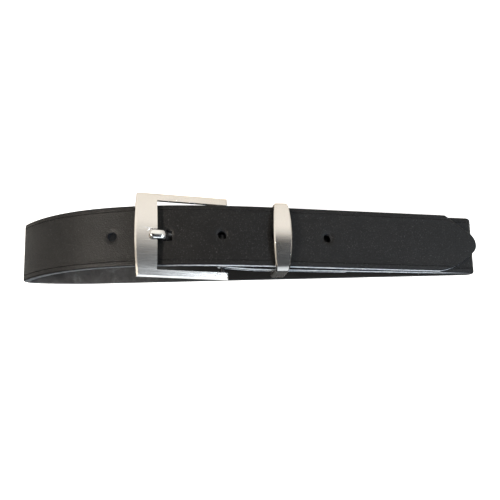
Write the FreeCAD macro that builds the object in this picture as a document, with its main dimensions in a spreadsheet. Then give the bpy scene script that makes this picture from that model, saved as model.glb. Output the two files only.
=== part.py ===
import FreeCAD, Part
import math
import os
import Sketcher
from FreeCAD import Placement, Rotation, Vector

os.makedirs("parts", exist_ok=True)
doc = FreeCAD.newDocument("leather_belt")

# ---------------------------------------------------------------- driving dimensions (mm, degrees)
DIMS = {
    # strap
    "strap_width": 32.0,
    "strap_thick": 3.8,
    "skived_thick": 2.0,
    "skive_run": 7.0,
    "fold_length": 70.0,
    "hole_dia": 5.0,
    "hole_first": 88.5,
    "hole_pitch": 29.0,
    "tip_length": 22.8,
    "tip_low_length": 18.2,
    "tip_nose": 16.4,
    "slot_width": 6.2,
    "slot_reach": 4.2,
    # plan of the closed strap, measured on its outer (grain) face
    "hinge_at_x": 14.7,
    "hinge_at_y": 10.0,
    "rise_angle": 27.0,
    "rise_run": 14.0,
    "ease_radius": 30.0,
    "under_angle": 11.9,
    "under_run": 119.4,
    "far_bend_radius": 4.3,
    "back_run": 207.8,
    "turn_one_radius": 120.0,
    "turn_one_angle": 17.9,
    "turn_two_radius": 7.1,
    "turn_two_angle": 110.4,
    "turn_three_radius": 83.0,
    "turn_three_angle": 37.8,
    "turn_four_radius": 130.0,
    "turn_four_angle": 18.4,
    "turn_five_radius": 303.0,
    "front_angle": 14.3,
    "front_run": 119.45,
    # buckle
    "bar_radius": 1.25,
    "wrap_play": 0.1,
    "prong_play": 0.06,
    "frame_tilt": 19.8,
    "frame_height": 44.4,
    "frame_reach": 46.1,
    "frame_heel": 2.8,
    "frame_thick": 2.8,
    "arm_height": 3.8,
    "front_bar_width": 10.4,
    "front_bar_bulge": 1.4,
    "frame_crown": 1.2,
    "frame_bevel": 0.8,
    "frame_rise": 0.65,
    "notch_width": 6.0,
    "notch_length": 5.4,
    "notch_depth": 1.3,
    "prong_width": 4.6,
    "prong_thick": 2.4,
    "prong_ring": 1.6,
    "prong_end": 39.6,
    "rest_gap": 0.3,
    "room_angle": 4.6,
    # keeper
    "keeper_station": 30.8,
    "keeper_width": 7.0,
    "keeper_bulge": 1.3,
    "keeper_wall": 1.6,
    "keeper_depth": 18.0,
    "keeper_height": 34.2,
    "keeper_crown": 2.0,
    "keeper_angle": 12.9,
    "keeper_yaw": 5.0,
    "keeper_lift": 0.4,
    "keeper_round": 4.0,
    "keeper_bevel": 0.7,
    # press studs
    "stud_one_station": 9.6,
    "stud_two_station": 56.0,
    "cap_dia": 10.0,
    "cap_rise": 1.5,
    "barrel_dia": 3.4,
    "socket_dia": 8.4,
    "socket_thick": 1.2,
    "ball_dia": 3.6,
    "post_dia": 8.0,
}
sheet = doc.addObject("Spreadsheet::Sheet", "dims")
for row, (alias, value) in enumerate(DIMS.items(), start=1):
    sheet.set(f"A{row}", alias)
    sheet.set(f"B{row}", str(value))
    sheet.setAlias(f"B{row}", alias)
doc.recompute()
d = type("Dims", (), DIMS)

# ---------------------------------------------------------------- the closed strap seen from above


def turned(heading):
    """Unit vector of a heading given in degrees."""
    return Vector(math.cos(math.radians(heading)), math.sin(math.radians(heading)), 0)


class Run:
    """One straight or one bend of the strap, held by its outer face. radius > 0 bends inward."""

    def __init__(self, start, heading, length, radius=0.0, angle=0.0):
        self.start, self.heading, self.radius = start, heading, radius
        self.length = abs(radius) * math.radians(angle) if radius else length
        self.angle = math.copysign(angle, radius) if radius else 0.0
        self.end_heading = heading - self.angle

    def point(self, along, inward=0.0):
        inner = turned(self.heading - 90)
        if not self.radius:
            return self.start + turned(self.heading) * along + inner * inward
        centre = self.start + inner * self.radius
        swept = self.heading - 90 - math.degrees(along / self.radius)
        return centre - turned(swept) * (self.radius - inward)

    def heading_at(self, along):
        return self.heading - (math.degrees(along / self.radius) if self.radius else 0.0)

    def edge(self, inward, first=0.0, last=None):
        last = self.length if last is None else last
        a, b = self.point(first, inward), self.point(last, inward)
        if not self.radius:
            return Part.LineSegment(a, b)
        return Part.Arc(a, self.point((first + last) / 2, inward), b)


def strap_runs():
    wrap = d.bar_radius + d.wrap_play + d.skived_thick
    heading = 180 - d.rise_angle
    hinge = Vector(d.hinge_at_x, d.hinge_at_y, 0)
    at = hinge + turned(heading + 90) * wrap
    ease = d.rise_angle - d.under_angle
    last_turn = (180 + d.front_angle - d.turn_one_angle - d.turn_two_angle
                 - d.turn_three_angle - d.turn_four_angle)
    plan = [
        (d.rise_run, 0, 0),
        (0, -d.ease_radius, ease),
        (d.under_run, 0, 0),
        (0, d.far_bend_radius, 180 - d.under_angle),
        (d.back_run, 0, 0),
        (0, d.turn_one_radius, d.turn_one_angle),
        (0, d.turn_two_radius, d.turn_two_angle),
        (0, d.turn_three_radius, d.turn_three_angle),
        (0, d.turn_four_radius, d.turn_four_angle),
        (0, d.turn_five_radius, last_turn),
        (d.front_run, 0, 0),
    ]
    runs = []
    for length, radius, angle in plan:
        run = Run(at, heading, length, radius, angle)
        runs.append(run)
        at, heading = run.point(run.length), run.end_heading
    return runs


RUNS = strap_runs()
HINGE = Vector(d.hinge_at_x, d.hinge_at_y, 0)
TOTAL = sum(run.length for run in RUNS)
WRAP = d.bar_radius + d.wrap_play + d.skived_thick


def station(along):
    """Run, distance within it, for a distance from the hinge along the outer face."""
    for run in RUNS:
        if along <= run.length:
            return run, along
        along -= run.length
    return RUNS[-1], RUNS[-1].length + along


def outline_of_strap():
    """Closed outline: folded end, wrap over the hinge bar, outer face to the tip, inner face back."""
    inner_ply, near_ply = 2 * WRAP, 2 * WRAP - d.skived_thick
    fold = []
    left = d.fold_length
    for run in RUNS:
        if left <= 0:
            break
        fold.append((run, min(run.length, left)))
        left -= run.length
    geo = []
    for run, reach in reversed(fold):
        geo.append(run.edge(inner_ply, reach, 0.0))
    first = RUNS[0]
    geo.append(Part.Arc(first.point(0, inner_ply),
                        HINGE - turned(first.heading) * WRAP, first.point(0, 0)))
    for run in RUNS:
        geo.append(run.edge(0))
    last = RUNS[-1]
    geo.append(Part.LineSegment(last.point(last.length, 0), last.point(last.length, d.strap_thick)))
    for run in reversed(RUNS[1:]):
        geo.append(run.edge(d.strap_thick, run.length, 0.0))
    geo.append(first.edge(d.strap_thick, first.length, d.skive_run))
    geo.append(Part.LineSegment(first.point(d.skive_run, d.strap_thick),
                                first.point(0, d.skived_thick)))
    geo.append(Part.Arc(first.point(0, d.skived_thick),
                        HINGE - turned(first.heading) * (WRAP - d.skived_thick),
                        first.point(0, near_ply)))
    for run, reach in fold:
        geo.append(run.edge(near_ply, 0.0, reach))
    run, reach = fold[-1]
    geo.append(Part.LineSegment(run.point(reach, near_ply), run.point(reach, inner_ply)))
    return geo


# ---------------------------------------------------------------- where things stand
# The closed belt stands on the end of the buckle's lower arm and on the lower edge of the back,
# so the whole of it leans a little; every body carries that lean in its Placement.
HEEL_DROP = d.frame_height / 2 - d.strap_width / 2 - d.frame_rise
BACK_Y = RUNS[4].point(0).y
REST_Y = HINGE.y + d.frame_heel * math.sin(math.radians(d.frame_tilt)) + d.frame_thick / 2
LEAN = -math.degrees(math.atan2(HEEL_DROP, BACK_Y - REST_Y))
ORIGIN_SHIFT = Vector(0.55, -22.565, 0.0)


def stand(local=Placement()):
    """Placement of a body whose own placement in the upright belt is local."""
    lean = Placement(Vector(0, 0, 0), Rotation(Vector(1, 0, 0), LEAN))
    lowest = lean.multVec(Vector(0, BACK_Y, 0)).z
    return Placement(ORIGIN_SHIFT - Vector(0, 0, lowest), Rotation()) * lean * local


MID = d.strap_width / 2


def facing(along, inward=0.0, height=MID):
    """Placement on the strap: Z leaves the outer face, Y points up."""
    run, rest = station(along)
    out = turned(run.heading_at(rest) + 90)
    up = Vector(0, 0, 1)
    turn = Rotation(up.cross(out), up, out, "ZXY")
    return Placement(run.point(rest, inward) + Vector(0, 0, height), turn)


# ---------------------------------------------------------------- building helpers


def new_body(name, placement):
    body = doc.addObject("PartDesign::Body", name)
    body.Label = name
    body.Placement = placement
    return body


def plane_of(body, role):
    return next(f for f in body.Origin.OriginFeatures if f.Role == role)


def draw(body, name, role, curves, offset=Placement(), closed=True):
    sketch = body.newObject("Sketcher::SketchObject", name)
    sketch.AttachmentSupport = (plane_of(body, role), [""])
    sketch.MapMode = "FlatFace"
    sketch.AttachmentOffset = offset
    first = sketch.addGeometry(curves, False)[0]
    count = len(curves)
    if closed and count > 1:
        for i in range(first, first + count):
            j = first + (i + 1 - first) % count
            end, start = min(((a, b) for a in (1, 2) for b in (1, 2)), key=lambda ab:
                             sketch.getPoint(i, ab[0]).distanceToPoint(sketch.getPoint(j, ab[1])))
            sketch.addConstraint(Sketcher.Constraint("Coincident", i, end, j, start))
    doc.recompute()
    return sketch


def chain(points):
    """Straight closed outline through plain points."""
    pts = [Vector(x, y, 0) for x, y in points]
    return [Part.LineSegment(a, b) for a, b in zip(pts, pts[1:] + pts[:1])]


def circle(x, y, radius):
    return [Part.Circle(Vector(x, y, 0), Vector(0, 0, 1), radius)]


def pad(body, sketch, name, length, midplane=False, back=False):
    feature = body.newObject("PartDesign::Pad", name)
    feature.Profile = sketch
    feature.SideType = "Symmetric" if midplane else "One side"
    feature.Reversed = back
    if isinstance(length, str):
        feature.setExpression("Length", length)
    else:
        feature.Length = length
    sketch.Visibility = False
    doc.recompute()
    return feature


def pocket(body, sketch, name, length, midplane=False, back=False):
    before = body.Shape.Volume
    feature = body.newObject("PartDesign::Pocket", name)
    feature.Profile = sketch
    feature.SideType = "Symmetric" if midplane else "One side"
    feature.Reversed = back
    if isinstance(length, str):
        feature.setExpression("Length", length)
    else:
        feature.Length = length
    doc.recompute()
    if not body.Shape.Volume < before - 1e-6:
        raise RuntimeError(f"{body.Label}: {name} cuts nothing")
    return feature


def revolve(body, sketch, name):
    feature = body.newObject("PartDesign::Revolution", name)
    feature.Profile = sketch
    feature.ReferenceAxis = (sketch, ["V_Axis"])
    feature.Angle = 360.0
    doc.recompute()
    return feature


def dress(body, kind, name, chosen, size):
    """Chamfer or fillet on the edges of the tip for which chosen(edge) holds."""
    base = body.Tip
    names = [f"Edge{i}" for i, e in enumerate(base.Shape.Edges, start=1) if chosen(e)]
    if not names:
        raise RuntimeError(f"{body.Label}: {name} has no edges")
    feature = body.newObject(f"PartDesign::{kind}", name)
    feature.Base = (base, names)
    feature.setExpression("Size" if kind == "Chamfer" else "Radius", size)
    doc.recompute()
    return feature


# ---------------------------------------------------------------- strap
strap = new_body("strap", stand())
strap_plan = draw(strap, "strap_plan", "XY_Plane", outline_of_strap())
pad(strap, strap_plan, "strap_band", "dims.strap_width")


def cut_in_strap(name, along, curves, back=0.8):
    """Cuts through the front layer only, from a plane just behind it toward the outside."""
    run, rest = station(along)
    place = facing(along, d.strap_thick + back)
    flat = draw(strap, name + "_sketch", "XY_Plane", curves, place)
    return pocket(strap, flat, name, f"dims.strap_thick + {2 * back}", back=True)


def tip_outline():
    """The waste round the pointed tip; X runs back into the strap, Y is height."""
    w, t, nose = d.strap_width / 2, d.tip_length, d.tip_nose - d.strap_width / 2
    low_shoulder, low_nose = Vector(d.tip_low_length, -w, 0), Vector(0.12 * t, -0.33 * w, 0)
    point = Vector(0.05, nose, 0)
    high_nose, high_shoulder = Vector(0.07 * t, 0.28 * w, 0), Vector(t, w, 0)
    over = 2.0
    corners = [Vector(t, w + over, 0), Vector(-over, w + over, 0),
               Vector(-over, -w - over, 0), Vector(d.tip_low_length, -w - over, 0)]
    return [
        Part.LineSegment(corners[3], low_shoulder),
        Part.LineSegment(low_shoulder, low_nose),
        Part.Arc(low_nose, Vector(0.033 * t, -0.165 * w, 0), point),
        Part.Arc(point, Vector(0.012 * t, 0.155 * w, 0), high_nose),
        Part.Arc(high_nose, Vector(0.43 * t, 0.70 * w, 0), high_shoulder),
        Part.LineSegment(high_shoulder, corners[0]),
        Part.LineSegment(corners[0], corners[1]),
        Part.LineSegment(corners[1], corners[2]),
        Part.LineSegment(corners[2], corners[3]),
    ]


cut_in_strap("tip_cut", TOTAL, tip_outline(), 0.12)
HOLES = [TOTAL - d.hole_first - i * d.hole_pitch for i in range(5)]
for i, along in enumerate(HOLES):
    cut_in_strap(f"hole_{i + 1}", along, circle(0, 0, d.hole_dia / 2))

# slot for the prong through the wrap, cut across the width from the middle of the strap
slot_mouth = HINGE.y - WRAP - 0.2
slot_start = RUNS[0].point(d.slot_reach, -0.3)
slot_end = RUNS[0].point(d.slot_reach, 2 * WRAP + 0.6)
slot_plan = chain([(slot_start.x, slot_start.y), (slot_end.x, slot_end.y),
                   (HINGE.x + WRAP + 1, HINGE.y + WRAP + 1), (HINGE.x + WRAP + 1, slot_mouth),
                   (HINGE.x - 1.2, slot_mouth)])
slot_sketch = draw(strap, "slot_sketch", "XY_Plane", slot_plan,
                   Placement(Vector(0, 0, MID + d.frame_rise), Rotation()))
pocket(strap, slot_sketch, "prong_slot", "dims.slot_width", midplane=True)

# holes of the press studs through both plies of the fold
PLY_DEPTH = "2 * (dims.bar_radius + dims.wrap_play + dims.skived_thick)"
for i, along in enumerate((d.stud_one_station, d.stud_two_station), start=1):
    place = facing(along, 0.0)
    through = draw(strap, f"stud_{i}_sketch", "XY_Plane", circle(0, 0, d.barrel_dia / 2 + 0.02), place)
    pocket(strap, through, f"stud_{i}_hole", PLY_DEPTH + " + 0.5")
    seat_place = facing(along, d.strap_thick)
    seat = draw(strap, f"stud_{i}_seat_sketch", "XY_Plane", circle(0, 0, d.socket_dia / 2 + 0.02),
                seat_place)
    pocket(strap, seat, f"stud_{i}_seat", 1.0, back=True)


# ---------------------------------------------------------------- buckle, in its own frame
# X runs from the hinge bar to the front bar, Y points inward through the belt, Z up.
BUCKLE = Placement(HINGE + Vector(0, 0, MID + d.frame_rise), Rotation(Vector(0, 0, 1), -d.frame_tilt))


def rounded_path(points, radii):
    """Runs through points with the inner corners rounded: (start, end, centre or None)."""
    pts = [Vector(x, y, 0) for x, y in points]
    runs, at = [], pts[0]
    for before, corner, after, radius in zip(pts, pts[1:], pts[2:], radii):
        u, v = (before - corner).normalize(), (after - corner).normalize()
        half = math.acos(u.dot(v)) / 2
        reach = radius / math.tan(half)
        p, q = corner + u * reach, corner + v * reach
        centre = corner + (u + v).normalize() * (radius / math.sin(half))
        runs += [(at, p, None), (p, q, centre)]
        at = q
    return runs + [(at, pts[-1], None)]


def offset_edge(run, side):
    """Edge of one run moved sideways; side > 0 is to the left of travel."""
    a, b, centre = run
    if centre is None:
        n = Vector(0, 0, 1).cross(b - a).normalize() * side
        return a + n, b + n, None
    left = Vector(0, 0, 1).cross(b - a).dot(centre - a) > 0
    grow = -side if left else side
    move = lambda p: centre + (p - centre) * (((p - centre).Length + grow) / (p - centre).Length)
    middle = (a + b) / 2
    middle = centre + (middle - centre).normalize() * (a - centre).Length
    return move(a), move(b), move(middle)


def band(runs, half):
    """Closed band of even thickness along a path, square at both ends."""
    one = [offset_edge(r, half) for r in runs]
    two = [(b, a, m) for a, b, m in reversed([offset_edge(r, -half) for r in runs])]
    curves = []
    for a, b, m in one:
        curves.append(Part.LineSegment(a, b) if m is None else Part.Arc(a, m, b))
    curves.append(Part.LineSegment(one[-1][1], two[0][0]))
    for a, b, m in two:
        curves.append(Part.LineSegment(a, b) if m is None else Part.Arc(a, m, b))
    curves.append(Part.LineSegment(two[-1][1], one[0][0]))
    return curves


notch_floor = -d.frame_thick / 2 - d.frame_crown + d.notch_depth
prong_y = notch_floor - d.rest_gap - d.prong_thick / 2
PRONG_PATH = [(0.0, 0.9), (12.0, 1.4), (26.4, 5.5), (32.7, prong_y), (d.prong_end, prong_y)]
PRONG_RUNS = rounded_path(PRONG_PATH, [14.0, 2.6, 2.4])

# room for the prong through the hole in use: the leather follows its slope and its lift
low, high = Vector(*PRONG_PATH[2], 0), Vector(*PRONG_PATH[3], 0)
slope = (high - low).normalize()
across = Vector(-slope.y, slope.x, 0)
room = d.prong_thick / 2 + 0.45
lifted = Rotation(Vector(0, 0, 1), -d.room_angle)
room_corners = [low + across * room - slope * 2, high + across * room,
                lifted.multVec(high - across * room), lifted.multVec(low - across * room - slope)]
room_corners = [BUCKLE.multVec(p) for p in room_corners]
room_sketch = draw(strap, "prong_room_sketch", "XY_Plane", chain([(p.x, p.y) for p in room_corners]),
                   Placement(Vector(0, 0, MID + d.frame_rise), Rotation()))
pocket(strap, room_sketch, "prong_room", "dims.prong_width + 0.8", midplane=True)

# frame: a U with square arm ends, its front bar bowed a little outward and crowned
frame = new_body("buckle_frame", stand(BUCKLE))
half_h, inner_h = d.frame_height / 2, d.frame_height / 2 - d.arm_height
inner_x = d.frame_reach - d.front_bar_width
u_shape = [
    Part.LineSegment(Vector(-d.frame_heel, half_h, 0), Vector(d.frame_reach, half_h, 0)),
    Part.Arc(Vector(d.frame_reach, half_h, 0), Vector(d.frame_reach + d.front_bar_bulge, 0, 0),
             Vector(d.frame_reach, -half_h, 0)),
] + chain([(d.frame_reach, -half_h), (-d.frame_heel, -half_h), (-d.frame_heel, -inner_h),
           (inner_x, -inner_h), (inner_x, inner_h), (-d.frame_heel, inner_h),
           (-d.frame_heel, half_h)])[:-1]
frame_sketch = draw(frame, "frame_sketch", "XZ_Plane", u_shape)
pad(frame, frame_sketch, "frame_blank", "dims.frame_thick + 2 * dims.frame_crown", midplane=True)


def crown_cut(body, name, y_edge, crown, half, outer):
    """Shapes one face of a blank to an arc across its height (drawn in the YZ plane)."""
    far = outer * 12.0
    arc = [
        Part.Arc(Vector(y_edge, -half, 0), Vector(y_edge - crown, 0, 0), Vector(y_edge, half, 0)),
        Part.LineSegment(Vector(y_edge, half, 0), Vector(far, half, 0)),
        Part.LineSegment(Vector(far, half, 0), Vector(far, -half, 0)),
        Part.LineSegment(Vector(far, -half, 0), Vector(y_edge, -half, 0)),
    ]
    flat = draw(body, name + "_sketch", "YZ_Plane", arc)
    return pocket(body, flat, name, "2 * (dims.frame_reach + 6)", midplane=True)


crown_cut(frame, "front_crown", -d.frame_thick / 2, d.frame_crown, half_h + 0.01, -1)
crown_cut(frame, "back_crown", d.frame_thick / 2, d.frame_crown, half_h + 0.01, 1)
notch_sketch = draw(frame, "notch_sketch", "XZ_Plane",
                    chain([(inner_x - 1, -d.notch_width / 2), (inner_x + d.notch_length, -d.notch_width / 2),
                           (inner_x + d.notch_length, d.notch_width / 2), (inner_x - 1, d.notch_width / 2)]),
                    Placement(Vector(0, 0, -notch_floor), Rotation()))
pocket(frame, notch_sketch, "notch", 6.0, back=True)


def notch_corner(edge):
    v = [p.Point for p in edge.Vertexes]
    deep = len(v) == 2 and abs(v[0].y - v[1].y) > 0.5
    return deep and all(abs(p.x - inner_x - d.notch_length) < 0.01
                        and abs(abs(p.z) - d.notch_width / 2) < 0.01 for p in v)


dress(frame, "Fillet", "notch_round", notch_corner, "dims.notch_width * 0.42")
bar_hole = draw(frame, "bar_hole_sketch", "XY_Plane", circle(0, 0, d.bar_radius + 0.005))
pocket(frame, bar_hole, "bar_hole", "dims.frame_height - 2.4", midplane=True)


def front_rim(edge):
    """Outer edges round the front face of the frame."""
    ends = [p.Point for p in edge.Vertexes]
    on_front = all(abs(p.y + d.frame_thick / 2 + d.frame_crown * (1 - (p.z / half_h) ** 2)) < 0.12
                   for p in ends)
    return on_front and max(abs(p.z) for p in ends) > half_h - 1


dress(frame, "Chamfer", "front_bevel", front_rim, "dims.frame_bevel")

# the steel pin across the arms
hinge_bar = new_body("hinge_bar", stand(BUCKLE))
pin = draw(hinge_bar, "pin_sketch", "XY_Plane", circle(0, 0, d.bar_radius))
pad(hinge_bar, pin, "pin", "dims.frame_height - 2.5", midplane=True)

# prong: ring round the pin, shank behind the strap end, up through the hole, over the notch
prong = new_body("prong", stand(BUCKLE))
shank = draw(prong, "shank_sketch", "XY_Plane", band(PRONG_RUNS, d.prong_thick / 2))
pad(prong, shank, "shank", "dims.prong_width", midplane=True)
ring = draw(prong, "ring_sketch", "XY_Plane", circle(0, 0, d.bar_radius + d.prong_play + d.prong_ring))
pad(prong, ring, "ring", "dims.prong_width", midplane=True)
bore = draw(prong, "ring_bore_sketch", "XY_Plane", circle(0, 0, d.bar_radius + d.prong_play))
pocket(prong, bore, "ring_bore", "dims.prong_width + 1", midplane=True)


def prong_end_edge(edge):
    v = [p.Point for p in edge.Vertexes]
    return (len(v) == 2 and all(abs(p.x - d.prong_end) < 0.01 for p in v)
            and abs(v[0].y - v[1].y) > 1)


dress(prong, "Fillet", "prong_nose", prong_end_edge, "dims.prong_width * 0.46")


def prong_outer_edge(edge):
    m = edge.BoundBox
    return m.XMax > 6 and m.YLength + m.XLength > 0.3 and m.ZLength < d.prong_width * 0.9


dress(prong, "Fillet", "prong_round", prong_outer_edge, "dims.prong_thick * 0.4")

# ---------------------------------------------------------------- keeper
run, rest = station(d.keeper_station)
inner_face = run.point(rest, 2 * WRAP)
inward_keeper = turned(90 - d.keeper_angle)
KEEPER = Placement(inner_face - inward_keeper * (d.keeper_depth / 2 - 0.8) + Vector(0, 0, MID + d.keeper_lift),
                   Rotation(Vector(0, 0, 1), d.keeper_yaw - d.keeper_angle))
keeper = new_body("keeper", stand(KEEPER))


def loop_profile(half_y, half_z, crown, corner, front):
    """Rounded rectangle whose front side (negative Y) is an arc with corners of its own."""
    y, z, c, f = half_y, half_z, corner, front
    return [
        Part.Arc(Vector(-y, -z + f, 0), Vector(-y - crown, 0, 0), Vector(-y, z - f, 0)),
        Part.Arc(Vector(-y, z - f, 0), Vector(-y + 0.3 * f, z - 0.3 * f, 0), Vector(-y + f, z, 0)),
        Part.LineSegment(Vector(-y + f, z, 0), Vector(y - c, z, 0)),
        Part.Arc(Vector(y - c, z, 0), Vector(y - 0.3 * c, z - 0.3 * c, 0), Vector(y, z - c, 0)),
        Part.LineSegment(Vector(y, z - c, 0), Vector(y, -z + c, 0)),
        Part.Arc(Vector(y, -z + c, 0), Vector(y - 0.3 * c, -z + 0.3 * c, 0), Vector(y - c, -z, 0)),
        Part.LineSegment(Vector(y - c, -z, 0), Vector(-y + f, -z, 0)),
        Part.Arc(Vector(-y + f, -z, 0), Vector(-y + 0.3 * f, -z + 0.3 * f, 0), Vector(-y, -z + f, 0)),
    ]


half_y, half_z = d.keeper_depth / 2, d.keeper_height / 2
wide = d.keeper_width + 2 * d.keeper_bulge
KEEPER_SPAN = "dims.keeper_width + 2 * dims.keeper_bulge"
ring_outer = draw(keeper, "keeper_outer_sketch", "YZ_Plane",
                  loop_profile(half_y + d.keeper_wall, half_z + d.keeper_wall, d.keeper_crown, 2.2,
                               d.keeper_round))
pad(keeper, ring_outer, "keeper_blank", KEEPER_SPAN, midplane=True)
ring_inner = draw(keeper, "keeper_inner_sketch", "YZ_Plane",
                  loop_profile(half_y, half_z, d.keeper_crown, 0.9, 0.9))
pocket(keeper, ring_inner, "keeper_opening", KEEPER_SPAN + " + 1", midplane=True)
top = half_z + d.keeper_wall + 0.5
for side, name in ((1, "keeper_right"), (-1, "keeper_left")):
    edge_x, mid_x = side * d.keeper_width / 2, side * wide / 2
    barrel = [
        Part.Arc(Vector(edge_x, -top, 0), Vector(mid_x, 0, 0), Vector(edge_x, top, 0)),
        Part.LineSegment(Vector(edge_x, top, 0), Vector(side * wide, top, 0)),
        Part.LineSegment(Vector(side * wide, top, 0), Vector(side * wide, -top, 0)),
        Part.LineSegment(Vector(side * wide, -top, 0), Vector(edge_x, -top, 0)),
    ]
    flat = draw(keeper, name + "_sketch", "XZ_Plane", barrel)
    pocket(keeper, flat, name, "2 * (dims.keeper_depth + 10)", midplane=True)


def keeper_rim(edge):
    """Outer edges round both openings of the loop."""
    at = edge.valueAt((edge.FirstParameter + edge.LastParameter) / 2)
    bulge = d.keeper_crown * (1 - (at.z / half_z) ** 2)
    outside = max(at.y - half_y, abs(at.z) - half_z, -at.y - half_y - bulge)
    return outside > 0.4 and edge.BoundBox.XLength < 4


dress(keeper, "Chamfer", "keeper_bevels", keeper_rim, "dims.keeper_bevel")

# ---------------------------------------------------------------- press studs of the fold


def turned_part(name, along, profile, placement=None):
    """Solid of revolution standing on the strap at a station; profile is (radius, height) pairs."""
    body = new_body(name, stand(facing(along)))
    flat = draw(body, name + "_sketch", "XZ_Plane", chain(profile))
    revolve(body, flat, name + "_turned")
    return body


t_full, ply = d.strap_thick, 2 * WRAP
studs = []
for i, along in enumerate((d.stud_one_station, d.stud_two_station), start=1):
    cap_r, barrel_r, ball_r = d.cap_dia / 2, d.barrel_dia / 2, d.ball_dia / 2
    seat_z = -t_full + 1.0
    studs.append(turned_part(f"stud_{i}_cap", along, [
        (0, seat_z - 0.15), (barrel_r, seat_z - 0.15), (barrel_r, 0), (cap_r, 0), (cap_r, 0.35),
        (cap_r * 0.92, 0.75), (cap_r * 0.7, 1.15), (cap_r * 0.4, 1.4), (0, d.cap_rise)]))
    studs.append(turned_part(f"stud_{i}_socket", along, [
        (barrel_r + 0.02, seat_z), (d.socket_dia / 2, seat_z), (d.socket_dia / 2, seat_z - 0.9),
        (d.socket_dia / 2 - 0.4, seat_z - d.socket_thick), (ball_r + 0.1, seat_z - d.socket_thick),
        (ball_r + 0.1, seat_z - 0.2), (barrel_r + 0.02, seat_z - 0.2)]))
    lip = -ply + d.skived_thick
    studs.append(turned_part(f"stud_{i}_ball", along, [
        (0, lip), (d.post_dia / 2, lip), (d.post_dia / 2, lip + 0.3), (ball_r * 0.9, lip + 0.62),
        (ball_r, lip + 0.95), (ball_r, lip + 1.2), (ball_r * 0.8, lip + 1.45), (0, lip + 1.45)]))
    studs.append(turned_part(f"stud_{i}_post", along, [
        (0, lip), (barrel_r, lip), (barrel_r, -ply), (d.post_dia / 2, -ply),
        (d.post_dia / 2, -ply - 0.3), (d.post_dia / 2 - 0.8, -ply - 0.8), (0, -ply - 0.8)]))

# ---------------------------------------------------------------- check and write
doc.recompute()
parts = [strap, frame, hinge_bar, prong, keeper] + studs
for item in doc.Objects:
    if "Invalid" in item.State or "Error" in item.State:
        raise RuntimeError(f"{item.Name}: {item.State}")
for body in parts:
    shape = body.Shape
    if shape.isNull() or not shape.isValid() or len(shape.Solids) != 1:
        raise RuntimeError(f"{body.Label}: solids {len(shape.Solids)}, valid {shape.isValid()}")
    shape.exportStep(f"parts/{body.Label}.step")
    box = shape.BoundBox
    print(f"{body.Label:16s} {shape.Volume:10.1f} mm3  x {box.XMin:7.2f} {box.XMax:7.2f}"
          f"  y {box.YMin:7.2f} {box.YMax:7.2f}  z {box.ZMin:6.2f} {box.ZMax:6.2f}")
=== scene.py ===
import math
import random

import bmesh
import bpy
import numpy as np
from mathutils import Matrix, Vector, noise


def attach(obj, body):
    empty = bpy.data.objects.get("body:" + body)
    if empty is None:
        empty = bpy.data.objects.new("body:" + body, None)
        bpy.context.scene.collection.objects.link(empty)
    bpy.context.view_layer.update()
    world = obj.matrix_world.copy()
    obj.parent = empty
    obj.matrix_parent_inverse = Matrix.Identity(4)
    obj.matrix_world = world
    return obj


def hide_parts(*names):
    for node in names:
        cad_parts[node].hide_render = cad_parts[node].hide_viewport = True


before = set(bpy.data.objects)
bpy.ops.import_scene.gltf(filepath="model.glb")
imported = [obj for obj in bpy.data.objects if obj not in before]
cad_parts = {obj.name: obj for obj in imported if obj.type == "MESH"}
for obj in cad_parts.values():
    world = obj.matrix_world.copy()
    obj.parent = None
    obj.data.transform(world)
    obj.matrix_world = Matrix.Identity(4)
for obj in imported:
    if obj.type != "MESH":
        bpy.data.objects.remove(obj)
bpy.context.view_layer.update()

# ------------------------------------------------------------------ sizes, in mm and degrees
# All lengths are in the upright belt's own frame: X along it, Y away from the viewer, Z up.
WIDTH, THICK = 32.0, 3.8
MID = WIDTH / 2
SKIVED, SKIVE_RUN = 2.0, 7.0                     # thinned leather of the fold, and the taper to it
FOLD_LENGTH = 70.0
CREASE = 2.6                                     # each pressed line, from the edge
HINGE = np.array([14.7, 10.0])                   # the pin's axis
PIN_R, PIN_PLAY = 1.25, 0.1
WRAP = PIN_R + PIN_PLAY + SKIVED                 # the grain face's radius round the pin
RISE_ANGLE = 27.0                                # the strap's slope where it leaves the pin
BUCKLE_TILT = 19.8
HALF_FRAME, FRAME_THICK, BAR_CROWN = 22.2, 2.8, 1.2
RISE, HEEL = 0.65, 2.8                           # of the frame over the strap, of its arms past the pin
NOTCH_DEPTH, REST_GAP = 1.3, 0.3
PRONG_THICK, PRONG_WIDTH = 2.4, 4.6
NOTCH_FLOOR = -FRAME_THICK / 2 - BAR_CROWN + NOTCH_DEPTH
PRONG_Y = NOTCH_FLOOR - REST_GAP - PRONG_THICK / 2
HOLE_COUNT, HOLE_FIRST, HOLE_PITCH, HOLE_R = 5, 88.5, 29.0, 2.5
HOLE_IN_USE = 3                                  # counted from the tip
STUDS = (9.6, 56.0)                              # the two press studs, from the end of the wrap
PLAN = [  # length, radius (positive bends inward), angle of each run from the hinge to the tip
    (14.0, 0, 0), (0, -30.0, 15.1), (119.4, 0, 0), (0, 4.3, 168.1), (207.8, 0, 0),
    (0, 120.0, 17.9), (0, 7.1, 110.4), (0, 83.0, 37.8), (0, 130.0, 18.4), (0, 303.0, 9.8),
    (119.45, 0, 0)]
FAR_BEND, BACK = 3, 4                            # which of the runs these are


def turned(heading):
    """Unit vector at a heading in the plan."""
    return np.array([math.cos(math.radians(heading)), math.sin(math.radians(heading))])


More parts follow.
